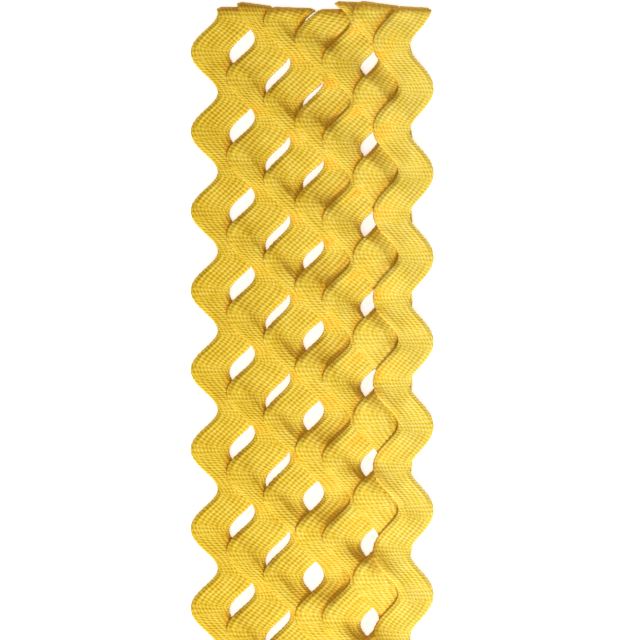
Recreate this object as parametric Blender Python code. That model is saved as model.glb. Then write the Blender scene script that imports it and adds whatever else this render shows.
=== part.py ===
"""A flat-wound hank of medium ric rac: seven wavy wraps side by side, each lying on the edge of the last.

The hank lies on its back with its length along Y and its folds at both ends. The origin is at the middle of its
underside. Each wrap is one rounded wavy bar, as thick as the layers wound on that track, and the bars are fused.
The narrow gaps that the waves leave between neighbours go right through.
"""

import math
from collections import namedtuple

import bmesh
import bpy

# Main sizes
MM = 0.001
LEG_SWELL = 0.32 * MM
STATIONS_PER_WAVE = 8

# The wraps, left to right, in millimetres: the mean place and the swing of each edge, the height of a
# rightmost bend of the left edge, how far lower the same bend of the right edge is, the length of one wave,
# the two folds, and how high the wrap's upper face lies at its left and right edges
Wrap = namedtuple("Wrap", "left left_swing right right_swing crest lag wave top bottom left_rise right_rise")
WRAPS = {
    "a": Wrap(-21.6, 2.72, -13.8, 2.76, 78.3, 0.4, 15.9, 79.5, -79.7, 3.0, 2.9),
    "b": Wrap(-14.3, 2.86, -6.7, 2.64, 73.2, 1.9, 15.8, 79.9, -80.1, 3.9, 2.9),
    "c": Wrap(-7.0, 2.70, 1.1, 2.90, 68.3, 0.6, 15.8, 79.4, -80.5, 3.9, 3.0),
    "d": Wrap(-0.5, 2.90, 7.6, 2.70, 64.7, 0.7, 16.5, 79.2, -79.8, 4.0, 3.0),
    "e": Wrap(4.8, 2.82, 12.5, 2.80, 76.4, 1.4, 15.9, 80.5, -80.2, 4.2, 3.1),
    "f": Wrap(10.8, 2.60, 18.0, 1.90, 69.6, 0.6, 16.1, 80.2, -79.6, 4.4, 3.3),
    "g": Wrap(14.7, 2.52, 22.0, 2.40, 63.5, 0.4, 16.9, 79.6, -80.0, 4.7, 3.3),
}

# The section of a wrap, a hexagon with its widest corners at half height
SHOULDER = 0.9 * MM
WAIST_SHARE = 0.5
BASE_STEP = 0.03 * MM
BASE_LEVELS = 3

# The folds: how far each ring lies inside the end, and the share of the full height it has there
FOLD_RINGS = ((0.0, 0.42), (0.5 * MM, 0.80), (1.6 * MM, 1.0))

# The shift of each back run to the next track, just above the lower folds
SHIFT_TOP = -64.0 * MM
SHIFT_BOTTOM = -78.4 * MM
SHIFT_STATIONS = 9
SHIFT_BASE = 0.12 * MM
SHIFT_RISE = 2.1 * MM


def edge_places(wrap, y):
    """The left and right edge of a wrap at a height along the hank."""
    turn = 2.0 * math.pi * (y - wrap.crest * MM) / (wrap.wave * MM)
    late = 2.0 * math.pi * wrap.lag / wrap.wave
    left = wrap.left * MM + wrap.left_swing * MM * math.cos(turn)
    right = wrap.right * MM + wrap.right_swing * MM * math.cos(turn + late)
    swell_left = LEG_SWELL * math.sin(turn) ** 2
    swell_right = LEG_SWELL * math.sin(turn + late) ** 2
    return left - swell_left, right + swell_right


def hexagon(left, right, y, base, left_rise, right_rise, share):
    """Six corners of a section, squeezed towards half height by a share of one at the folds."""
    middle = base + (left_rise + right_rise - 2.0 * base) * 0.5 * WAIST_SHARE
    corners = (
        (left, middle),
        (left + SHOULDER, base),
        (right - SHOULDER, base),
        (right, middle),
        (right - SHOULDER, right_rise),
        (left + SHOULDER, left_rise),
    )
    return [(x, y, middle + (z - middle) * share) for x, z in corners]


def wave_stations(wrap):
    """Heights of the sections between the folds, at even steps of the wave."""
    inset = FOLD_RINGS[-1][0]
    low = wrap.bottom * MM + inset
    high = wrap.top * MM - inset
    step = wrap.wave * MM / STATIONS_PER_WAVE
    first = math.ceil((low - wrap.crest * MM) / step + 0.3)
    last = math.floor((high - wrap.crest * MM) / step - 0.3)
    return [wrap.crest * MM + step * count for count in range(first, last + 1)]


def wrap_sections(wrap, base):
    """All sections of one wrap, from its lower fold to its upper fold."""
    places = [(wrap.bottom * MM + inset, share) for inset, share in FOLD_RINGS]
    places += [(y, 1.0) for y in wave_stations(wrap)]
    places += [(wrap.top * MM - inset, share) for inset, share in reversed(FOLD_RINGS)]
    sections = []
    for y, share in places:
        left, right = edge_places(wrap, y)
        rises = wrap.left_rise * MM, wrap.right_rise * MM
        sections.append(hexagon(left, right, y, base, *rises, share))
    return sections


def shift_sections(wrap, following):
    """The back run of one wrap where it crosses to the track of the wrap after it."""
    sections = []
    for count in range(SHIFT_STATIONS):
        part = count / (SHIFT_STATIONS - 1)
        y = SHIFT_BOTTOM + (SHIFT_TOP - SHIFT_BOTTOM) * part
        ease = part * part * (3.0 - 2.0 * part)
        here = edge_places(wrap, y)
        there = edge_places(following, y)
        left = there[0] + (here[0] - there[0]) * ease
        right = there[1] + (here[1] - there[1]) * ease
        sections.append(hexagon(left, right, y, SHIFT_BASE, SHIFT_RISE, SHIFT_RISE, 1.0))
    return sections


def bar_through(name, sections):
    """A closed bar extruded through its sections, one ring after another."""
    bm = bmesh.new()
    bmesh.ops.create_circle(bm, cap_ends=True, segments=len(sections[0]), radius=SHOULDER)
    corner = bm.verts.layers.int.new("corner")
    for number, vertex in enumerate(bm.verts):
        vertex[corner] = number
    bm.faces.ensure_lookup_table()
    face = bm.faces[0]
    for number, section in enumerate(sections):
        if number > 0:
            made = bmesh.ops.extrude_face_region(bm, geom=[face])
            if number > 1:
                bm.faces.remove(face)
            face = next(item for item in made["geom"] if isinstance(item, bmesh.types.BMFace))
        for vertex in face.verts:
            vertex.co = section[vertex[corner]]
    bmesh.ops.recalc_face_normals(bm, faces=bm.faces)
    mesh = bpy.data.meshes.new(name)
    bm.to_mesh(mesh)
    bm.free()
    return bpy.data.objects.new(name, mesh)


def polyester_trim():
    """The dyed yarn, a warm golden yellow with little gloss."""
    material = bpy.data.materials.new("golden_polyester")
    material.use_nodes = True
    shader = material.node_tree.nodes["Principled BSDF"]
    shader.inputs["Base Color"].default_value = (0.75, 0.51, 0.075, 1.0)
    shader.inputs["Roughness"].default_value = 0.75
    shader.inputs["Metallic"].default_value = 0.0
    return material


def build():
    for old in list(bpy.data.objects):
        bpy.data.objects.remove(old, do_unlink=True)
    hank_parts = bpy.data.collections.new("flat_wound_ric_rac_hank")
    fused_in = bpy.data.collections.new("runs_fused_in")
    bpy.context.scene.collection.children.link(hank_parts)
    bpy.context.scene.collection.children.link(fused_in)

    bars = []
    for number, (letter, wrap) in enumerate(WRAPS.items()):
        base = BASE_STEP * (number % BASE_LEVELS)
        bars.append(bar_through("wrap_" + letter, wrap_sections(wrap, base)))
    wraps = list(WRAPS.values())
    for wrap, following in zip(wraps, wraps[1:]):
        bars.append(bar_through("shift", shift_sections(wrap, following)))

    hank = bars[0]
    hank.name = "hank"
    hank_parts.objects.link(hank)
    hank.data.materials.append(polyester_trim())
    for bar in bars[1:]:
        fused_in.objects.link(bar)
        bar.hide_render = True
        bar.display_type = "WIRE"
        fuse = hank.modifiers.new("fuse_" + bar.name, "BOOLEAN")
        fuse.operation = "UNION"
        fuse.solver = "EXACT"
        fuse.object = bar


build()
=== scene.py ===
# %% [markdown]
# # A flat-wound hank of ric rac
# Ric rac is a narrow woven trim whose edges wave from side to side. A shop hank is one long length wound
# flat: up the front, over a fold, down the back, and across to the next track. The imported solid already
# has the size and the waves of all seven wraps. This lesson builds the cloth itself round it: every run,
# fold, rib and cut end.

# %% Load the frame
import math
from collections import namedtuple

import bmesh
import bpy
import numpy as np
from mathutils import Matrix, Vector


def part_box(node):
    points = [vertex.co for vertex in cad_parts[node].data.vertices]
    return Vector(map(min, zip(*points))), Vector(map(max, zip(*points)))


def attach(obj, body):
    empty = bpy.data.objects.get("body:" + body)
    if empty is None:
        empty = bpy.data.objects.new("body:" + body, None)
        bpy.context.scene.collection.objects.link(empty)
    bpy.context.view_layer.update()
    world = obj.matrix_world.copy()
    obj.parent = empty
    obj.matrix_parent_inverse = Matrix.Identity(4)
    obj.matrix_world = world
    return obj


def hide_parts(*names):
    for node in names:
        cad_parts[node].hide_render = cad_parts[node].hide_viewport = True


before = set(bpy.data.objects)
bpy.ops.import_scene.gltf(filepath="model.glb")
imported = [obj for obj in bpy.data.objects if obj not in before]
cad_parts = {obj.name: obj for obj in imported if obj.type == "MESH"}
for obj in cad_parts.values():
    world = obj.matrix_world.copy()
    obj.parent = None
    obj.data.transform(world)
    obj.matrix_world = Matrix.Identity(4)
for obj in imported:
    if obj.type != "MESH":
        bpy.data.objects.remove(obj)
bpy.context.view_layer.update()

MM = 0.001
hank_low, hank_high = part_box("hank")
print("hank solid, mm:", [round((high - low) / MM, 1) for low, high in zip(hank_low, hank_high)])

# %% [markdown]
# ## The camera
# The hank is seen face on. It lies on its back, so the camera looks straight down. A long lens far away
# keeps the sides of the gaps from showing, as in a catalogue picture. The picture is 128 mm wide where
# the hank lies.

# %% The camera
PICTURE_WIDTH = 128.0 * MM
PICTURE_CENTRE = (1.6 * MM, 16.8 * MM)
LENS_MM = 300.0
SENSOR_MM = 36.0
FACE_HEIGHT = 3.5 * MM


def place_camera():
    """A camera straight above the hank, with the top of the picture towards its upper folds."""
    data = bpy.data.cameras.new("camera")
    data.lens = LENS_MM
    data.sensor_width = SENSOR_MM
    data.clip_end = 20.0
    camera = bpy.data.objects.new("camera", data)
    distance = PICTURE_WIDTH * LENS_MM / SENSOR_MM
    camera.location = (*PICTURE_CENTRE, FACE_HEIGHT + distance)
    bpy.context.scene.collection.objects.link(camera)
    bpy.context.scene.camera = camera
    return distance


print("camera distance, m:", round(place_camera(), 3))

# %% [markdown]
# ## Seven tracks
# Each wrap follows its own wavy track. A short table gives the mean place and the swing of its two edges,
# where a bend lies, and where it folds. Hand winding never spaces the wraps evenly, so each row differs a
# little. The legs between the bends are a little wider than the bends, which one sine squared adds.
# Winding also pulls some edges sideways just below the upper fold. Sizes are in millimetres.

# %% The tracks
LEG_SWELL = 0.32
PULL_REACH = 4.6
EDGE_FIELDS = "left left_swing right right_swing crest lag wave"
FOLD_FIELDS = "top bottom tip pull_left pull_right"
Track = namedtuple("Track", EDGE_FIELDS + " " + FOLD_FIELDS)
TRACKS = {
    "a": Track(-21.6, 2.72, -13.8, 2.76, 78.3, 0.4, 15.9, 79.5, -79.7, 0.1, 0.1, 0.0),
    "b": Track(-14.3, 2.86, -6.7, 2.64, 73.2, 1.9, 15.8, 80.1, -80.1, 1.0, 2.1, 1.8),
    "c": Track(-7.0, 2.70, 1.1, 2.90, 68.3, 0.6, 15.8, 79.4, -80.5, 0.3, 0.0, 0.0),
    "d": Track(-0.5, 2.90, 8.4, 2.70, 64.7, 0.7, 16.5, 79.1, -79.8, 0.0, 0.2, 0.0),
    "e": Track(4.8, 2.82, 12.5, 2.80, 76.4, 1.4, 15.9, 80.5, -80.2, 0.3, 0.0, 0.0),
    "f": Track(10.8, 2.60, 18.7, 1.40, 69.6, 0.6, 16.1, 80.2, -79.6, 1.2, 0.0, 0.0),
    "g": Track(14.7, 2.52, 22.0, 2.40, 63.5, 0.4, 16.9, 79.5, -80.0, 0.3, 0.0, -0.4),
}
tracks = list(TRACKS.values())


def ease(value):
    """A share from 0 to 1 with a soft start and a soft end."""
    value = np.clip(value, 0.0, 1.0)
    return value * value * (3.0 - 2.0 * value)


def track_edges(track, y):
    """The left and right edge of a track at heights y, pulled sideways just below its upper fold."""
    turn = 2.0 * math.pi * (y - track.crest) / track.wave
    late = turn + 2.0 * math.pi * track.lag / track.wave
    pull = ease(1.0 - (track.top - y) / PULL_REACH)
    left = track.left + track.left_swing * np.cos(turn) - LEG_SWELL * np.sin(turn) ** 2
    right = track.right + track.right_swing * np.cos(late) + LEG_SWELL * np.sin(late) ** 2
    return left + track.pull_left * pull, right + track.pull_right * pull


# %% [markdown]
# ## Laying the runs on each other
# Cloth lies on whatever is below it and bridges small steps softly. A cloth simulation could settle the
# trim, but a height map is quicker and easy to steer where the layers are flat. Each run reads the pile
# below it, takes that height, and is then softened without ever sinking into the pile. Last, it is added
# to the pile.

# %% The pile
THICK = 0.80
GRID = 0.25
ACROSS = 29
SOFTEN_ROUNDS = 70
LAY_GAP = 0.04
grid_x = np.arange(-27.0, 27.0 + GRID, GRID)
grid_y = np.arange(-84.0, 84.0 + GRID, GRID)
pile = np.zeros((len(grid_y), len(grid_x)))


def read_field(field, x, y, x_start, y_start, x_step, y_step):
    """Values of a regular field between its points."""
    column = np.clip((x - x_start) / x_step, 0.0, field.shape[1] - 1.001)
    row = np.clip((y - y_start) / y_step, 0.0, field.shape[0] - 1.001)
    c, r = column.astype(int), row.astype(int)
    fc, fr = column - c, row - r
    lower = field[r, c] * (1 - fc) + field[r, c + 1] * fc
    upper = field[r + 1, c] * (1 - fc) + field[r + 1, c + 1] * fc
    return lower * (1 - fr) + upper * fr


def widened(field):
    """Each point takes the highest value next to it, so that edges keep clear."""
    out = field.copy()
    for axis in (0, 1):
        out = np.maximum.reduce([out, np.roll(out, 1, axis), np.roll(out, -1, axis)])
    return out


def softened(field):
    """One light blur along and across the trim."""
    for axis in (0, 1):
        padding = [(1, 1) if a == axis else (0, 0) for a in (0, 1)]
        wide = np.pad(field, padding, mode="edge")
        first = np.take(wide, range(0, field.shape[axis]), axis)
        last = np.take(wide, range(2, field.shape[axis] + 2), axis)
        field = 0.25 * first + 0.5 * field + 0.25 * last
    return field


Run = namedtuple("Run", "edges low high under")


def lay_run(edges, low, high, loft):
    """Lay one run on the pile between two heights, at least as high as its loft, and add it to the pile."""
    rows = np.arange(low, high + GRID, GRID)
    share = np.linspace(0.0, 1.0, ACROSS)
    left, right = edges(rows)
    x = left[:, None] + (right - left)[:, None] * share
    y = np.repeat(rows[:, None], ACROSS, 1)
    support = read_field(widened(pile), x, y, grid_x[0], grid_y[0], GRID, GRID)
    support = np.maximum(support + LAY_GAP, loft(rows)[:, None])
    under = support.copy()
    for _ in range(SOFTEN_ROUNDS):
        under = np.maximum(support, softened(under))
    for number, row in enumerate(rows):
        line = int(round((row - grid_y[0]) / GRID))
        inside = (grid_x >= left[number]) & (grid_x <= right[number])
        top = np.interp(grid_x[inside], x[number], under[number]) + THICK
        pile[line, inside] = np.maximum(pile[line, inside], top)
    return Run(edges, rows[0], rows[-1], under)


# %% [markdown]
# ## Back runs first, front runs last
# The hank lies on its back, so the back runs touch the table. The last wrap's back run is outermost and
# so lies lowest, and the order upwards is g to a. Then comes the start of the trim, tucked inside. The
# front runs follow from a to g, each with its left edge on the wrap before it. Low on the back, each run
# crosses to the next track.

# %% All the runs
FOLD_REACH = 1.9
SHIFT_TOP = -64.0
SHIFT_BOTTOM = -78.4
START_END = -63.0
LAST_END = -70.0
FLOOR_LIFT = 0.08
LOFT_MIDDLE = 1.75
LOFT_FOLD = 2.15
LOFT_REACH = 14.0
FOLD_PLACE = 79.0


def front_edges(number):
    """The edges of a front run, as a function of the height along the hank."""
    return lambda y: track_edges(tracks[number], y)


def back_edges(number):
    """A back run hides behind its front run, then crosses to the next track near the lower fold."""
    if number == len(tracks) - 1:
        return front_edges(number)

    def edges(y):
        here = track_edges(tracks[number], y)
        there = track_edges(tracks[number + 1], y)
        stay = ease((y - SHIFT_BOTTOM) / (SHIFT_TOP - SHIFT_BOTTOM))
        return tuple(b + (a - b) * stay for a, b in zip(here, there))

    return edges


def on_the_floor(rows):
    """The lowest height of a run that lies on the floor, just clear of it."""
    return np.full(len(rows), FLOOR_LIFT)


def front_loft(rows):
    """The air inside the wraps: more by the folds, where the springy trim won't lie quite flat."""
    near_fold = ease((np.abs(rows) - (FOLD_PLACE - LOFT_REACH)) / LOFT_REACH)
    return LOFT_MIDDLE + (LOFT_FOLD - LOFT_MIDDLE) * near_fold


last = len(tracks) - 1
back_runs = {}
for number in range(last, -1, -1):
    track = tracks[number]
    foot = LAST_END if number == last else tracks[number + 1].bottom + FOLD_REACH
    back_runs[number] = lay_run(back_edges(number), foot, track.top - FOLD_REACH, on_the_floor)
start_run = lay_run(front_edges(0), tracks[0].bottom + FOLD_REACH, START_END, on_the_floor)
front_runs = {}
for number, track in enumerate(tracks):
    low, high = track.bottom + FOLD_REACH, track.top - FOLD_REACH
    front_runs[number] = lay_run(front_edges(number), low, high, front_loft)
print("highest point of the pile, mm:", round(float(pile.max()), 2))

# %% [markdown]
# ## One strip for each wrap
# A wrap's strip goes down the last part of the run before it, round the lower fold, up the front, over
# the upper fold and down the back. Its rows are half a rib apart. The cross lines lean with the slope of
# the wave, as the ribs of real ric rac do, but not so far that they cross on the inside of a bend.

# %% Rows of the strip
RIB = 0.73
HALF_RIB = RIB / 2.0
SEAM = -70.0
LEAN = 0.22
LEAN_FADE = 4.0
FOLD_ROWS = 12
EDGE_OUT = 0.13
FLARE = 0.12
FLARE_REACH = 2.6


def flared(edges, y, fold):
    """The edges at heights y, less their rounding, and spread a little where the trim is folded."""
    left, right = edges(y)
    spread = FLARE * ease(1.0 - (fold - np.abs(y)) / FLARE_REACH) - EDGE_OUT
    return left - spread, right + spread


def run_row(run, y0, fade, fold):
    """One cross line of a run: points in millimetres, with the line leaning with the wave."""
    share = np.linspace(0.0, 1.0, ACROSS)
    left, right = run.edges(np.array([y0 - HALF_RIB, y0 + HALF_RIB]))
    middle = (left + right) / 2.0
    slope = (middle[1] - middle[0]) / RIB
    width = (right - left).mean()
    y = y0 + LEAN * slope * fade * width * (0.5 - share)
    left, right = flared(run.edges, y, fold)
    x = left + (right - left) * share
    step = 1.0 / (ACROSS - 1)
    z = read_field(run.under, share, y, 0.0, run.low, step, GRID) + THICK / 2.0
    return np.stack([x, y, z], 1)


def rows_between(run, start, end, fold_heights):
    """The cross lines of a run from one height to another, half a rib apart."""
    count = 2 * max(1, int(round(abs(end - start) / RIB)))
    rows = []
    for y0 in np.linspace(start, end, count + 1):
        nearest = min(fold_heights, key=lambda height: abs(y0 - height))
        fade = float(ease(abs(y0 - nearest) / LEAN_FADE))
        rows.append(run_row(run, y0, fade, abs(nearest) + FOLD_REACH / 2.0))
    return rows


def fold_rows(first, second, edges, outward, tip):
    """The turn from the end line of one run to the start line of the next, outward along the hank."""
    share = np.linspace(0.0, 1.0, ACROSS)
    reach = FOLD_REACH - THICK / 2.0 + tip * (0.5 - share)
    middle = (first[:, 2] + second[:, 2]) / 2.0
    half = (first[:, 2] - second[:, 2]) / 2.0
    rows = []
    for number in range(1, FOLD_ROWS):
        angle = math.pi * (0.5 - number / FOLD_ROWS)
        y = first[:, 1] + outward * reach * math.cos(angle)
        left, right = flared(edges, y, abs(first[0, 1]) + FOLD_REACH / 2.0)
        x = left + (right - left) * share
        rows.append(np.stack([x, y, middle + half * math.sin(angle)], 1))
    return rows


def wrap_rows(number):
    """All the cross lines of one wrap, from its seam or cut end to the next one."""
    track = tracks[number]
    low, high = track.bottom + FOLD_REACH, track.top - FOLD_REACH
    before = start_run if number == 0 else back_runs[number - 1]
    begin = START_END if number == 0 else SEAM
    finish = LAST_END if number == last else SEAM
    folds = (low, high)
    rows = rows_between(before, begin, low, folds)
    front = rows_between(front_runs[number], low, high, folds)
    back = rows_between(back_runs[number], high, finish, folds)
    rows += fold_rows(rows[-1], front[0], front_edges(number), -1.0, 0.0)
    rows += front
    rows += fold_rows(front[-1], back[0], front_edges(number), 1.0, track.tip)
    rows += back
    return np.array(rows)


def trim_length(strip):
    """The length of a strip along the hank and round its folds, without its side to side waves."""
    middle = strip[:, :, 1:].mean(1)
    return float(np.linalg.norm(np.diff(middle, axis=0), axis=1).sum())


strips = {letter: wrap_rows(number) for number, letter in enumerate(TRACKS)}
for letter, strip in strips.items():
    print("wrap", letter, "rows", len(strip), "length of trim, mm", round(trim_length(strip), 1))

# %% [markdown]
# ## Giving the strip its weave
# Ric rac is a close weave. Seen from near, its face is rows of small grains, like rice. At the bends the
# ribs across it show most, and in the slanting legs the warp ends that follow its waves. Both could be
# bump alone, but then the mesh would be smooth. Here every second row of points is a groove between two
# ribs, and every fourth column of points is the crest of a warp end, so the weave is real shape.

# %% The weave's relief
GRAIN_POINTS = 4
RIB_HEIGHT = 0.034
WARP_HEIGHT = 0.030
CHECK_HEIGHT = 0.010
RIB_LOSS_IN_LEGS = 0.65
WARP_SHARE_AT_BENDS = 0.30
UNEVEN = 0.35
UNEVEN_GAIN = 2.0
LEG_SLANT = (0.12, 0.64)


def unit(vectors):
    """The same directions, one long."""
    return vectors / np.maximum(np.linalg.norm(vectors, axis=-1, keepdims=True), 1e-9)


def in_the_leg(strip):
    """For each row, 0 where the trim runs straight along the hank or over a fold, and 1 in a slanting leg."""
    middle = unit(np.gradient(strip.mean(1), axis=0))
    start, full = LEG_SLANT
    return ease((np.abs(middle[:, 0]) - start) / (full - start))


def weave_relief(leg, seed):
    """How far each point stands out: ribs show at the bends, and warp ends in the legs."""
    rows = len(leg)
    row = np.arange(rows)[:, None]
    column = np.arange(ACROSS)[None, :]
    rib = np.where(row % 2 == 0, 1.0, -1.0)
    warp = np.cos(2.0 * math.pi * column / GRAIN_POINTS)
    over = np.cos(math.pi * row / 2.0) * np.cos(math.pi * column / GRAIN_POINTS)
    rough = np.random.default_rng(seed).normal(size=(rows, ACROSS))
    uneven = 1.0 + UNEVEN * np.clip(softened(rough) * UNEVEN_GAIN, -1.0, 1.0)
    leg = leg[:, None]
    ribs = RIB_HEIGHT * (1.0 - RIB_LOSS_IN_LEGS * leg) * rib
    warps = WARP_HEIGHT * (WARP_SHARE_AT_BENDS + (1.0 - WARP_SHARE_AT_BENDS) * leg) * warp
    return (ribs + warps) * uneven + CHECK_HEIGHT * over


for letter, strip in strips.items():
    print("wrap", letter, "share of its rows in the legs:", round(float(in_the_leg(strip).mean()), 2))

# %% [markdown]
# ## Two faces and two edges
# A strip of cloth needs thickness. A Solidify modifier would give it square edges. Here the outer face
# carries the weave, and towards its edges it thins and lies down on what is below, as a pressed selvedge
# does. The edges are scalloped a little, where the weft turns back at each rib.

# %% The faces of a strip
EDGE_THIN = 0.55
EDGE_DROOP = 0.16
EDGE_SCALLOP = 0.05
SHOULDER_POINTS = 3


def strip_faces(strip, leg, seed):
    """Outer, inner and edge points of a strip, with rounded edges that lie down on what is below."""
    along = np.gradient(strip, axis=0)
    across = np.gradient(strip, axis=1)
    normal = unit(np.cross(across, along))
    column = np.arange(ACROSS)
    inwards = np.minimum(column, ACROSS - 1 - column)
    shoulder = ease(inwards / SHOULDER_POINTS)
    fullness = EDGE_THIN + (1.0 - EDGE_THIN) * shoulder
    middle = strip - normal * (EDGE_DROOP * (1.0 - shoulder))[None, :, None]
    half = THICK / 2.0 * fullness[None, :] + weave_relief(leg, seed) * fullness[None, :]
    outer = middle + normal * half[..., None]
    inner = middle - normal * (THICK / 2.0 * fullness)[None, :, None]
    side = unit(across)
    scallop = np.where(np.arange(len(strip)) % 2 == 0, EDGE_SCALLOP, -EDGE_SCALLOP)[:, None]
    left = middle[:, 0] - side[:, 0] * (EDGE_OUT + scallop)
    right = middle[:, -1] + side[:, -1] * (EDGE_OUT + scallop)
    return outer, inner, left, right, normal


first_leg = in_the_leg(strips["a"])
first_outer = strip_faces(strips["a"], first_leg, 0)[0]
print("outer face of wrap a, points:", first_outer.shape[0], "by", first_outer.shape[1])

# %% [markdown]
# ## Where shade is painted in
# Light that bounces between yarns of one colour comes out deeper each time. So the cloth looks darker orange
# in the shade beside a higher edge and round a pressed fold, and that shade is painted into its colour. Two
# values are stored at each point for the material to read: how much painted shade it takes, and how far it is
# in a slanting leg.

# %% Values at the points
NOOK_REACHES = (0.5, 0.9, 1.4, 2.0, 2.7)
NOOK_SIDEWAYS = 0.3
NOOK_STEP = 0.2
NOOK_DEPTH = 0.7
FOLD_SHADE = 0.9
FOLD_SHADE_GAIN = 1.3


def nook(points):
    """Painted shadow: from 0 on open cloth to 1 just above a higher edge, on its side away from the main
    light.
    """
    x, y, z = points[..., 0], points[..., 1], points[..., 2]
    total = np.zeros(x.shape)
    # Painted shadow: the point darkens where the pile stands higher towards the main light, at the lower end.
    for reach in NOOK_REACHES:
        below = read_field(pile, x + NOOK_SIDEWAYS * reach, y - reach, grid_x[0], grid_y[0], GRID, GRID)
        total += ease((below - z - NOOK_STEP) / NOOK_DEPTH)
    return total / len(NOOK_REACHES)


def painted_shade_values(ring, normal):
    """How much painted shade each point takes: painted shadow in the nooks and painted shade on the outside
    of the folds.
    """
    painted_shade = nook(ring)
    # Painted shade on the fold caps, where the outer face turns towards either end of the hank.
    folds = FOLD_SHADE * ease(np.abs(normal[..., 1]) * FOLD_SHADE_GAIN)
    painted_shade[:, :ACROSS] = np.maximum(painted_shade[:, :ACROSS], folds)
    return painted_shade


def add_value(mesh, name, values):
    """Store one number for each point of the mesh under a name."""
    layer = mesh.attributes.new(name=name, type="FLOAT", domain="POINT")
    layer.data.foreach_set("value", values.ravel().astype(np.float32))


print("share of wrap a's face in a nook:", round(float((nook(first_outer) > 0.1).mean()), 2))

# %% [markdown]
# ## One closed mesh for each wrap
# The points of a row go once round the strip: outer face, right edge, inner face, left edge. The inner
# face is hidden, so it has a quarter of the columns. Rows are joined with quads and both ends are closed.
# A map counts grains across and ribs along, so a pattern can follow the waves.

# %% The woven mesh
def end_cap(start, inner_count):
    """Faces that close one end of the strip: the outer points to the coarser inner ones."""
    outer_at = [start + column for column in range(ACROSS)]
    right_at = start + ACROSS
    inner_at = [right_at + inner_count - number for number in range(inner_count)]
    left_at = start + ACROSS + inner_count + 1
    step = (ACROSS - 1) // (inner_count - 1)
    faces = [[left_at, inner_at[0], outer_at[0]], [outer_at[-1], inner_at[-1], right_at]]
    for number in range(inner_count - 1):
        span = outer_at[number * step: (number + 1) * step + 1]
        faces.append([inner_at[number], inner_at[number + 1], *span[::-1]])
    return faces


def woven_mesh(name, strip, first_rib, seed):
    """A closed mesh round the strip, with a map that counts ribs along it and grains across it."""
    leg = in_the_leg(strip)
    outer, inner, left, right, normal = strip_faces(strip, leg, seed)
    inner = inner[:, ::GRAIN_POINTS]
    inner_count = inner.shape[1]
    ring = np.concatenate([outer, right[:, None], inner[:, ::-1], left[:, None]], axis=1)
    rows, around = ring.shape[:2]
    row = np.arange(rows - 1)[:, None] * around
    here = np.arange(around)[None, :]
    after = (here + 1) % around
    quads = np.stack([row + here, row + after, row + around + after, row + around + here], -1).reshape(-1, 4)
    caps = end_cap(0, inner_count)
    caps += [face[::-1] for face in end_cap((rows - 1) * around, inner_count)]
    mesh = bpy.data.meshes.new(name)
    mesh.from_pydata((ring.reshape(-1, 3) * MM).tolist(), [], quads.tolist() + caps)
    columns = np.arange(ACROSS, dtype=float)
    count_across = np.concatenate([columns, [ACROSS - 0.5], columns[::-GRAIN_POINTS], [-0.5]])
    u = np.tile(count_across / GRAIN_POINTS, rows)
    v = np.repeat(first_rib + np.arange(rows) / 2.0, around)
    weave_map = mesh.uv_layers.new(name="weave")
    corners = np.zeros(len(mesh.loops), dtype=np.int32)
    mesh.loops.foreach_get("vertex_index", corners)
    weave_map.data.foreach_set("uv", np.stack([u[corners], v[corners]], 1).ravel().astype(np.float32))
    add_value(mesh, "leg", np.repeat(leg, around))
    add_value(mesh, "painted_shade", painted_shade_values(ring, normal))
    mesh.shade_smooth()
    mesh.validate()
    return mesh


def closed_and_outward(mesh):
    """Mend the facing, and say whether the mesh is closed."""
    bm = bmesh.new()
    bm.from_mesh(mesh)
    bmesh.ops.recalc_face_normals(bm, faces=bm.faces)
    open_edges = sum(1 for edge in bm.edges if not edge.is_manifold)
    volume = bm.calc_volume()
    if volume < 0.0:
        bmesh.ops.reverse_faces(bm, faces=bm.faces)
    bm.to_mesh(mesh)
    bm.free()
    return open_edges, abs(volume) / MM ** 3


wraps = {}
first_rib = 0
for number, (letter, strip) in enumerate(strips.items()):
    mesh = woven_mesh("wrap_" + letter, strip, first_rib, number)
    open_edges, volume = closed_and_outward(mesh)
    wraps[letter] = bpy.data.objects.new("wrap_" + letter, mesh)
    bpy.context.scene.collection.objects.link(wraps[letter])
    first_rib += (len(strip) - 1) // 2
    print("wrap", letter, "open edges", open_edges, "volume, mm3", round(volume), "faces", len(mesh.polygons))

# %% [markdown]
# ## The dyed polyester
# The yarn is a golden yellow with little gloss and a soft sheen. The weave map counts grains and ribs, so
# the colour and the fine bump fall on the modelled ones: ribs at the bends, warp ends in the legs, each
# broken into short grains like rice. Shade is painted into the grooves and a highlight onto the crests,
# and a darker orange shade is painted into the nooks beside an overlying edge and round the folds.

# %% The yarn's material
# Painted shade at the bottom of the grooves and in the grooves, the yarn's own colour, a painted highlight on
# the crests, and a last colour of painted shade for the nooks and folds.
GAP_SHADE_COLOUR = (0.44, 0.235, 0.004, 1.0)
GROOVE_SHADE_COLOUR = (0.60, 0.385, 0.012, 1.0)
YARN_COLOUR = (0.71, 0.51, 0.048, 1.0)
CREST_HIGHLIGHT_COLOUR = (0.85, 0.69, 0.19, 1.0)
PAINTED_SHADE_COLOUR = (0.92, 0.64, 0.22, 1.0)
HALF_WIDTH = 24.0 * MM
WANDER_DETAIL = 2.0
WARP_WANDER = 0.55
RIB_WANDER = 0.50
GRAINS_PER_LINE = 1.5
GRAIN_SHIFT = 0.5
LINE_SHARE = 0.46
FILAMENT_SCALE = (3.0, 9.0, 1.0)
PATCH_SCALE = (330.0, 330.0, 330.0)
FINE_DETAIL = 3.0
TONE_BASE = 0.14
SHADE_AND_HIGHLIGHT_OF_HEIGHT = 0.72
TONE_OF_FILAMENTS = 0.55
TONE_OF_PATCHES = 0.50
TONE_OF_SIDE = 0.16
BUMP_DEPTH = 0.08 * MM
BUMP_OF_FILAMENTS = 0.45
ROUGHNESS = 0.62
ROUGHNESS_CHANGE = 0.25


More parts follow.
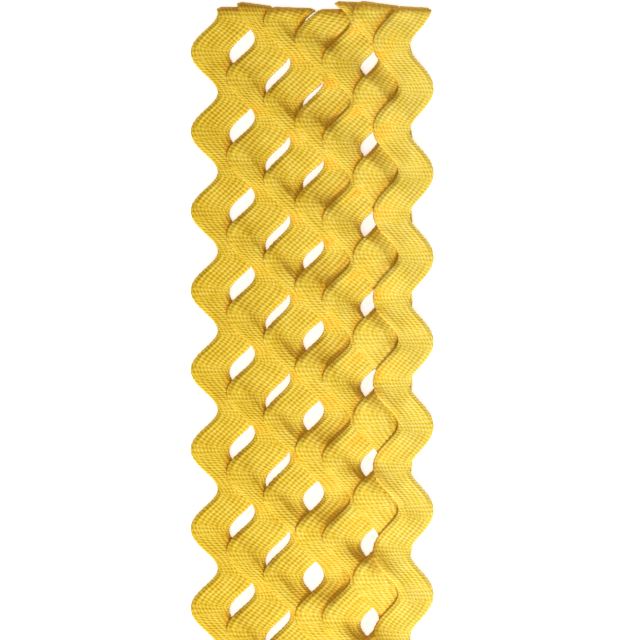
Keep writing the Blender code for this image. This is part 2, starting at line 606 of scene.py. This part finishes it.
class Nodes:
    """A short way to add and join a material's nodes."""

    def __init__(self, material):
        material.use_nodes = True
        self.tree = material.node_tree
        self.shader = self.tree.nodes["Principled BSDF"]

    def add(self, kind, **settings):
        node = self.tree.nodes.new(kind)
        for name, value in settings.items():
            setattr(node, name, value)
        return node

    def join(self, source, target):
        self.tree.links.new(source, target)

    def math(self, operation, first, second=None):
        node = self.add("ShaderNodeMath", operation=operation)
        for socket, value in zip(node.inputs, (first, second)):
            if isinstance(value, bpy.types.NodeSocket):
                self.join(value, socket)
            elif value is not None:
                socket.default_value = value
        return node.outputs[0]

    def wave(self, value, turns):
        """A wave from 0 to 1 that peaks at the whole numbers when it makes one turn for each."""
        turned = self.math("COSINE", self.math("MULTIPLY", value, 2.0 * math.pi * turns))
        return self.math("MULTIPLY", self.math("ADD", turned, 1.0), 0.5)

    def plus(self, first, second, amount):
        """The first value and some amount of the second."""
        return self.math("ADD", first, self.math("MULTIPLY", second, amount))

    def between(self, first, second, share):
        """From the first value to the second by a share."""
        return self.plus(first, self.math("SUBTRACT", second, first), share)

    def noise(self, place, scale, detail):
        """Soft noise around 0."""
        stretch = self.add("ShaderNodeMapping")
        stretch.inputs["Scale"].default_value = scale
        self.join(place, stretch.inputs["Vector"])
        texture = self.add("ShaderNodeTexNoise")
        texture.inputs["Scale"].default_value = 1.0
        texture.inputs["Detail"].default_value = detail
        self.join(stretch.outputs[0], texture.inputs["Vector"])
        return self.math("SUBTRACT", texture.outputs[0], 0.5)

    def attribute(self, name):
        """A number that the mesh stores at its points."""
        return self.add("ShaderNodeAttribute", attribute_name=name).outputs["Fac"]


def grain_height(nodes, weave):
    """The weave's height from 0 to 1: ribs at the bends and warp ends in the legs, cut into grains."""
    split = nodes.add("ShaderNodeSeparateXYZ")
    nodes.join(weave, split.inputs[0])
    leg = nodes.attribute("leg")
    sideways = nodes.noise(weave, (0.9, 0.9, 1.0), WANDER_DETAIL)
    lengthways = nodes.noise(weave, (1.1, 0.7, 1.0), WANDER_DETAIL)
    u = nodes.plus(split.outputs[0], sideways, WARP_WANDER)
    v = nodes.plus(split.outputs[1], lengthways, RIB_WANDER)
    lines = nodes.between(nodes.wave(v, 1.0), nodes.wave(u, 1.0), leg)
    half_u = nodes.math("MULTIPLY", u, GRAIN_SHIFT)
    half_v = nodes.math("MULTIPLY", v, GRAIN_SHIFT)
    at_bends = nodes.wave(nodes.plus(half_v, u, GRAINS_PER_LINE), 1.0)
    in_legs = nodes.wave(nodes.plus(half_u, v, GRAINS_PER_LINE), 1.0)
    grains = nodes.between(at_bends, in_legs, leg)
    return nodes.plus(nodes.math("MULTIPLY", grains, 1.0 - LINE_SHARE), lines, LINE_SHARE)


def polyester():
    """Golden woven polyester, read from the weave map."""
    material = bpy.data.materials.new("golden_polyester")
    nodes = Nodes(material)
    shader = nodes.shader
    weave = nodes.add("ShaderNodeUVMap", uv_map="weave").outputs[0]
    place = nodes.add("ShaderNodeTexCoord").outputs["Object"]
    height = grain_height(nodes, weave)
    filaments = nodes.noise(weave, FILAMENT_SCALE, FINE_DETAIL)
    patches = nodes.noise(place, PATCH_SCALE, FINE_DETAIL)
    split = nodes.add("ShaderNodeSeparateXYZ")
    nodes.join(place, split.inputs[0])
    side = nodes.math("DIVIDE", split.outputs[0], HALF_WIDTH)

    # The weave's height paints shade into the grooves and a highlight onto the crests; the filament and patch
    # noise is the yarn's own random tone.
    tone = nodes.math("ADD", nodes.math("MULTIPLY", height, SHADE_AND_HIGHLIGHT_OF_HEIGHT), TONE_BASE)
    tone = nodes.plus(tone, filaments, TONE_OF_FILAMENTS)
    tone = nodes.plus(tone, patches, TONE_OF_PATCHES)
    tone = nodes.plus(tone, side, TONE_OF_SIDE)
    # From painted shade in the grooves, with some random tone, through the yarn's own colour to a painted
    # highlight on the crests.
    ramp = nodes.add("ShaderNodeValToRGB")
    ramp.color_ramp.elements[0].position = 0.05
    ramp.color_ramp.elements[0].color = GAP_SHADE_COLOUR
    ramp.color_ramp.elements[1].position = 1.0
    ramp.color_ramp.elements[1].color = CREST_HIGHLIGHT_COLOUR
    ramp.color_ramp.elements.new(0.30).color = GROOVE_SHADE_COLOUR
    ramp.color_ramp.elements.new(0.58).color = YARN_COLOUR
    nodes.join(tone, ramp.inputs[0])

    # Painted shade: the stored value darkens the colour towards a darker orange in the nooks and round the
    # folds.
    painted_shade_mix = nodes.add("ShaderNodeMix", data_type="RGBA", blend_type="MULTIPLY")
    nodes.join(nodes.attribute("painted_shade"), painted_shade_mix.inputs["Factor"])
    nodes.join(ramp.outputs[0], painted_shade_mix.inputs["A"])
    painted_shade_mix.inputs["B"].default_value = PAINTED_SHADE_COLOUR
    colour = next(socket for socket in painted_shade_mix.outputs if socket.type == "RGBA")
    nodes.join(colour, shader.inputs["Base Color"])

    relief = nodes.plus(height, filaments, BUMP_OF_FILAMENTS)
    bump = nodes.add("ShaderNodeBump")
    bump.inputs["Strength"].default_value = 1.0
    bump.inputs["Distance"].default_value = BUMP_DEPTH
    nodes.join(relief, bump.inputs["Height"])
    nodes.join(bump.outputs[0], shader.inputs["Normal"])

    rough = nodes.math("ADD", nodes.math("MULTIPLY", filaments, ROUGHNESS_CHANGE), ROUGHNESS)
    nodes.join(rough, shader.inputs["Roughness"])
    shader.inputs["Sheen Weight"].default_value = 0.05
    shader.inputs["Sheen Roughness"].default_value = 0.4
    shader.inputs["Specular IOR Level"].default_value = 0.15
    return material


yarn = polyester()
for wrap in wraps.values():
    wrap.data.materials.append(yarn)
print("materials:", [material.name for material in bpy.data.materials])

# %% [markdown]
# ## Telling the frame
# Every wrap rides on the one body and stands for the hank's solid, which is hidden. The waved band of a wrap
# is narrower than its width across the points.

for letter, wrap in wraps.items():
    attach(wrap, "root")
    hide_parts("hank")
print("all wraps together, m:", round(sum(trim_length(strip) for strip in strips.values()) * MM, 2))

# %% [markdown]
# ## Floor and light
# A plain pale floor and soft studio light. The main light is low and comes from the lower end of the
# hank, so each edge that faces the upper end is in shade, and the ribs show. The floor glows a little, as
# a light table does, so that it is nearly white at the bottom of the narrow gaps too.

# %% The studio
FLOOR_SIZE = 3.0
FLOOR_GREY = (0.93, 0.93, 0.93, 1.0)
FLOOR_GLOW = 0.55
WORLD_COLOUR = (1.0, 0.97, 0.93, 1.0)
WORLD_STRENGTH = 0.38
AIM = (0.0, 0.02, 0.0)
Lamp = namedtuple("Lamp", "place size power")
LAMPS = {
    "key": Lamp((0.06, -0.62, 0.46), 0.24, 6.9),
    "fill": Lamp((-0.05, -0.10, 0.90), 0.30, 2.2),
}


def pale_floor():
    """A flat floor under the hank, which is stage and not part of the object."""
    material = bpy.data.materials.new("pale_floor")
    nodes = Nodes(material)
    nodes.shader.inputs["Base Color"].default_value = FLOOR_GREY
    nodes.shader.inputs["Roughness"].default_value = 0.9
    nodes.shader.inputs["Emission Color"].default_value = (1.0, 1.0, 1.0, 1.0)
    nodes.shader.inputs["Emission Strength"].default_value = FLOOR_GLOW
    bm = bmesh.new()
    bmesh.ops.create_grid(bm, x_segments=2, y_segments=2, size=FLOOR_SIZE / 2.0)
    mesh = bpy.data.meshes.new("floor")
    bm.to_mesh(mesh)
    bm.free()
    mesh.materials.append(material)
    floor = bpy.data.objects.new("floor", mesh)
    bpy.context.scene.collection.objects.link(floor)


def soft_light(name, lamp):
    """A round soft light that faces the upper half of the hank."""
    data = bpy.data.lights.new(name, "AREA")
    data.shape = "DISK"
    data.size = lamp.size
    data.energy = lamp.power
    light = bpy.data.objects.new(name, data)
    light.location = lamp.place
    light.rotation_euler = (Vector(AIM) - Vector(lamp.place)).to_track_quat("-Z", "Y").to_euler()
    bpy.context.scene.collection.objects.link(light)


def studio():
    """Floor, soft surrounding light and the two lamps, shown with plain colours."""
    pale_floor()
    world = bpy.data.worlds.new("studio")
    world.use_nodes = True
    background = world.node_tree.nodes["Background"]
    background.inputs["Color"].default_value = WORLD_COLOUR
    background.inputs["Strength"].default_value = WORLD_STRENGTH
    bpy.context.scene.world = world
    bpy.context.scene.view_settings.view_transform = "Standard"
    for name, lamp in LAMPS.items():
        soft_light(name, lamp)


studio()
